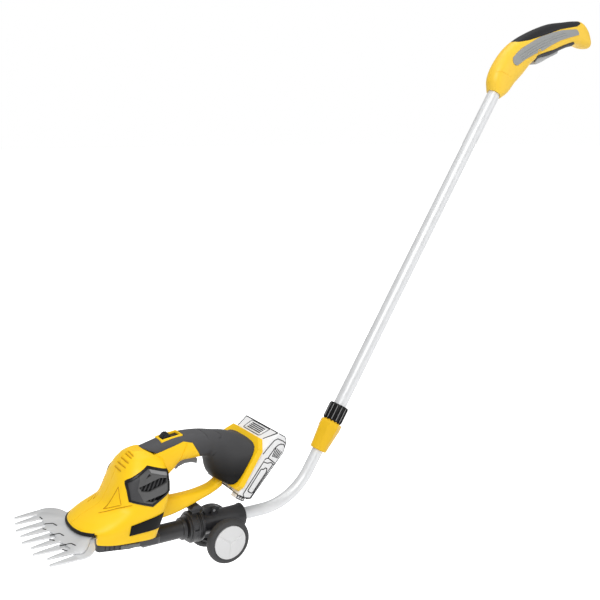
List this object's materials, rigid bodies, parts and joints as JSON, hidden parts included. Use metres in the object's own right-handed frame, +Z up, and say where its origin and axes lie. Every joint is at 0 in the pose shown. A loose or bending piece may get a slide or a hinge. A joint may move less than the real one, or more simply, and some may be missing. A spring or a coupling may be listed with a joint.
{
  "type": "cordless hedge trimmer with wheeled pole",
  "caption": "Cordless grass and hedge trimmer head with a toothed blade, D-grip and slide-on battery, mounted on a wheeled telescopic pole with a curved upper handle.",
  "frame": {"origin": "middle of the upper hand grip, on the machine's middle plane", "axes": "+X from the blade to the hand, +Z up with both wheels on the ground, +Y to the right of a person who looks along -X at the hand end's back"},
  "size_m": [0.857, 0.134, 0.6543],
  "materials": {
    "yellow_plastic": "satin moulded",
    "charcoal_plastic": "fine textured",
    "black_plastic": "matte",
    "grey_plastic": "satin",
    "white_plastic": "satin",
    "soft_grip": "soft touch",
    "tyre": "matte",
    "steel": "ground",
    "tube": "anodised satin",
    "contact": "bright"
  },
  "bodies": {
    "pole_upper": {"upper_tube": "tube", "clamp_collar": "yellow_plastic", "clamp_collet": "black_plastic", "handle_left": "yellow_plastic", "handle_right": "yellow_plastic", "top_grip": "soft_grip", "handle_panel_left": "grey_plastic", "handle_panel_right": "grey_plastic", "handle_switch": "black_plastic", "handle_trigger_pin": "steel", "handle_trigger_spring": "steel"},
    "knob": {"clamp_knob": "black_plastic"},
    "pole_lower": {"lower_tube": "tube", "wheel_carrier": "charcoal_plastic", "axle": "steel", "axle_clip_left": "steel", "axle_clip_right": "steel", "latch_pin": "steel", "swivel_spring": "steel"},
    "wheel_left": {"left_tyre": "tyre", "left_hub": "charcoal_plastic", "left_cap": "white_plastic"},
    "wheel_right": {"right_tyre": "tyre", "right_hub": "charcoal_plastic", "right_cap": "white_plastic"},
    "swivel_catch": {"swivel_button": "charcoal_plastic"},
    "latch": {"release_latch": "charcoal_plastic"},
    "head": {"pole_plug": "charcoal_plastic", "housing_left": "yellow_plastic", "housing_right": "yellow_plastic", "sole_plate": "charcoal_plastic", "blade_guard": "black_plastic", "fixed_comb": "steel", "pivot_pin": "steel", "gear_stud": "steel", "motor": "steel", "motor_plate": "tube", "vent_cover_left": "charcoal_plastic", "vent_cover_right": "charcoal_plastic", "grip_cover": "soft_grip", "switch_bezel": "yellow_plastic", "trigger_pin": "steel", "trigger_switch": "black_plastic", "battery_dock": "yellow_plastic", "dock_terminals": "contact", "name_plate": "black_plastic", "head_trigger_spring": "steel", "blade_release_left_spring": "steel", "blade_release_right_spring": "steel"},
    "gear": {"drive_gear": "steel"},
    "blade": {"moving_blade": "steel"},
    "pinion": {"motor_pinion": "steel"},
    "trigger": {"head_trigger": "grey_plastic"},
    "slider": {"safety_slider": "black_plastic"},
    "release_left": {"blade_release_left": "grey_plastic"},
    "release_right": {"blade_release_right": "grey_plastic"},
    "battery": {"battery_case": "white_plastic", "button_spring": "steel"},
    "battery_catch": {"battery_button": "grey_plastic"},
    "hand_trigger": {"handle_trigger": "grey_plastic"}
  },
  "joints": [
    {"name": "knob_turn", "type": "hinge", "parent": "pole_upper", "child": "knob", "pos_m": [-0.38386, 0, -0.5245], "axis": [0.5446, 0, 0.8387], "range_deg": [0, 90]},
    {"name": "pole_slide", "type": "slide", "parent": "pole_upper", "child": "pole_lower", "axis": [-0.5446, 0, -0.8387], "range_m": [0, 0.15]},
    {"name": "left_wheel_spin", "type": "hinge", "parent": "pole_lower", "child": "wheel_left", "pos_m": [-0.53, -0.024, -0.598], "axis": [0, 1, 0], "continuous": true},
    {"name": "right_wheel_spin", "type": "hinge", "parent": "pole_lower", "child": "wheel_right", "pos_m": [-0.53, 0.024, -0.598], "axis": [0, 1, 0], "continuous": true},
    {"name": "swivel_press", "type": "slide", "parent": "pole_lower", "child": "swivel_catch", "axis": [-0.0436, 0, -0.999], "range_m": [0, 0.0025], "stiffness_N_per_m": 200, "springref_m": -0.003, "deforming": ["swivel_spring"]},
    {"name": "latch_release", "type": "hinge", "parent": "pole_lower", "child": "latch", "pos_m": [-0.53827, 0, -0.56422], "axis": [0, 1, 0], "range_deg": [0, 8], "stiffness_Nm_per_rad": 0.01, "springref_deg": -28.65},
    {"name": "head_swivel", "type": "hinge", "parent": "pole_lower", "child": "head", "pos_m": [-0.53, 0, -0.5811], "axis": [0.999, 0, -0.0436], "range_deg": [-90, 90]},
    {"name": "gear_turn", "type": "hinge", "parent": "head", "child": "gear", "pos_m": [-0.652, 0, -0.536], "axis": [0, 0, 1], "range_deg": [-22, 158]},
    {"name": "blade_swing", "type": "hinge", "parent": "head", "child": "blade", "pos_m": [-0.68, 0, -0.5427], "axis": [0, 0, 1], "range_deg": [-7.9, 1.1]},
    {"name": "pinion_turn", "type": "hinge", "parent": "head", "child": "pinion", "pos_m": [-0.632, 0, -0.536], "axis": [0, 0, 1], "range_deg": [-632, 88]},
    {"name": "head_trigger_pull", "type": "hinge", "parent": "head", "child": "trigger", "pos_m": [-0.5855, 0, -0.4908], "axis": [0, -1, 0], "range_deg": [0, 8], "stiffness_Nm_per_rad": 0.05, "springref_deg": -14.32, "deforming": ["head_trigger_spring"]},
    {"name": "safety_slide", "type": "slide", "parent": "head", "child": "slider", "axis": [0.9972, 0, 0.0753], "range_m": [0, 0.006]},
    {"name": "left_blade_release", "type": "slide", "parent": "head", "child": "release_left", "axis": [0, 1, 0], "range_m": [0, 0.0025], "stiffness_N_per_m": 100, "springref_m": -0.003, "deforming": ["blade_release_left_spring"]},
    {"name": "right_blade_release", "type": "slide", "parent": "head", "child": "release_right", "axis": [0, -1, 0], "range_m": [0, 0.0025], "stiffness_N_per_m": 100, "springref_m": -0.003, "deforming": ["blade_release_right_spring"]},
    {"name": "battery_slide", "type": "slide", "parent": "head", "child": "battery", "axis": [0.5664, 0, 0.8241], "range_m": [0, 0.075]},
    {"name": "battery_button_press", "type": "slide", "parent": "battery", "child": "battery_catch", "axis": [0.3542, 0, -0.9352], "range_m": [0, 0.0025], "stiffness_N_per_m": 150, "springref_m": -0.003, "deforming": ["button_spring"]},
    {"name": "handle_trigger_pull", "type": "hinge", "parent": "pole_upper", "child": "hand_trigger", "pos_m": [0.021, 0, -0.009], "axis": [0, 1, 0], "range_deg": [0, 10], "stiffness_Nm_per_rad": 0.08, "springref_deg": -14.32, "deforming": ["handle_trigger_spring"]}
  ],
  "couplings": [
    {"joint": "blade_swing", "follows": "gear_turn", "ratio": -0.05},
    {"joint": "pinion_turn", "follows": "gear_turn", "ratio": -4}
  ]
}
